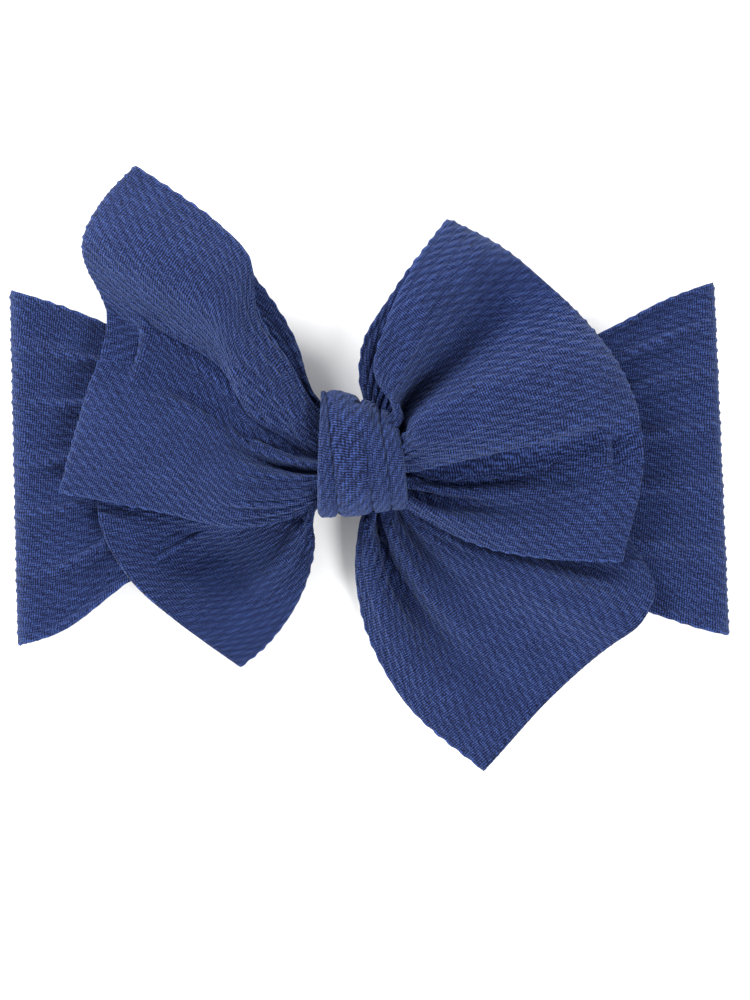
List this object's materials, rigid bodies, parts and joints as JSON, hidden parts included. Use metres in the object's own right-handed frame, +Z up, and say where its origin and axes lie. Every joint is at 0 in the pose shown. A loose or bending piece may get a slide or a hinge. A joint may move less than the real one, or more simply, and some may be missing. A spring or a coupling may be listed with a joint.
{
  "type": "hair bow",
  "caption": "Wide knit head wrap lying flat with a tied-look bow: large loops over angled tails and a pleated wrap knot.",
  "frame": {"origin": "on the surface the head wrap lies on, under the middle of the knot", "axes": "+Z up out of the bow's front, +X along the band to the right-hand fold as seen from the front, +Y to the top of the bow"},
  "size_m": [0.176, 0.1487, 0.03],
  "materials": {
    "knit": "navy-blue ribbed bubble knit, matt with a soft sheen",
    "thread": "navy polyester sewing thread"
  },
  "bodies": {
    "band_back": {"band_back": "knit", "back_seam_stitches": "thread"},
    "band_front": {"band_front": "knit", "tail_middle": "knit", "loop_middle": "knit", "gather_thread": "thread", "knot_wrap": "knit", "knot_stitches": "thread"},
    "left_loop": {"left_loop": "knit"},
    "right_loop": {"right_loop": "knit"},
    "left_tail": {"left_tail": "knit"},
    "right_tail": {"right_tail": "knit"}
  },
  "joints": [
    {"name": "band_open", "type": "slide", "parent": "band_back", "child": "band_front", "axis": [0, 0, 1], "range_m": [0, 0.04]},
    {"name": "left_loop_lift", "type": "hinge", "parent": "band_front", "child": "left_loop", "pos_m": [-0.0122, 0, 0.0212], "axis": [0, 1, 0], "range_deg": [0, 35]},
    {"name": "right_loop_lift", "type": "hinge", "parent": "band_front", "child": "right_loop", "pos_m": [0.0122, 0, 0.0212], "axis": [0, -1, 0], "range_deg": [0, 35]},
    {"name": "left_tail_lift", "type": "hinge", "parent": "band_front", "child": "left_tail", "pos_m": [-0.0375, -0.02115, 0.0093], "axis": [-1, 0, 0], "range_deg": [0, 35]},
    {"name": "right_tail_lift", "type": "hinge", "parent": "band_front", "child": "right_tail", "pos_m": [0.034, -0.0289, 0.0093], "axis": [-1, 0, 0], "range_deg": [0, 35]}
  ]
}
